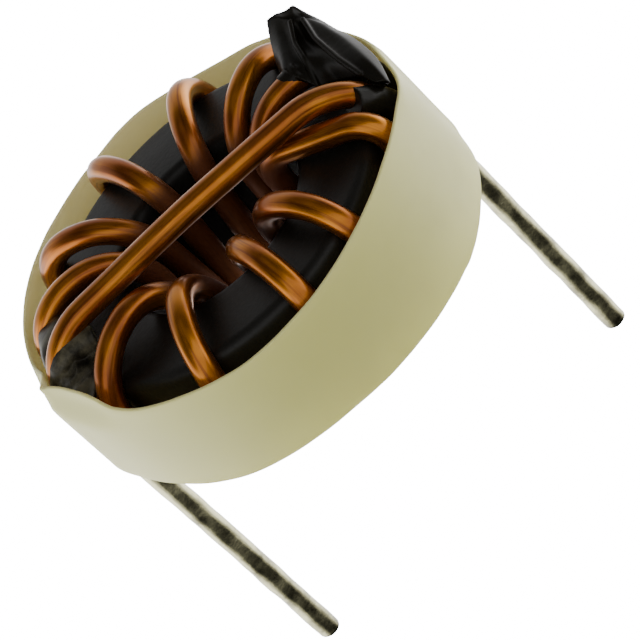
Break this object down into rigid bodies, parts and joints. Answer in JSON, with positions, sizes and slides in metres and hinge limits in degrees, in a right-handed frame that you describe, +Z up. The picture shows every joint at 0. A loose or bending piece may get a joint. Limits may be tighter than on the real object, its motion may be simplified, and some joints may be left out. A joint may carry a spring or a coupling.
{
  "type": "toroidal inductor",
  "caption": "Ring-core power inductor: heavy enamelled copper wire wound on a dark ring core, held in a pale plastic band, with two tinned leads for through-hole mounting.",
  "frame": {"origin": "midway between the two leads, on the seat plane under the winding, which is the board's top face", "axes": "+Z up along the core's axis, away from the board; +X from the core's axis to the start lead; leads point along -Z"},
  "size_m": [0.0212, 0.0208, 0.0229],
  "materials": {
    "core_coating": "satin black coating on a pressed powder ring",
    "enamelled_copper": "gloss clear enamel over copper",
    "band_plastic": "matt cream plastic, a little translucent",
    "sleeve_black": "wrinkled satin black shrink tube",
    "solder": "dull tinned solder"
  },
  "bodies": {
    "root": {"toroid_core": "core_coating", "winding_wire": "enamelled_copper", "outer_band": "band_plastic", "start_sleeve": "sleeve_black", "finish_sleeve": "sleeve_black"}
  },
  "joints": []
}
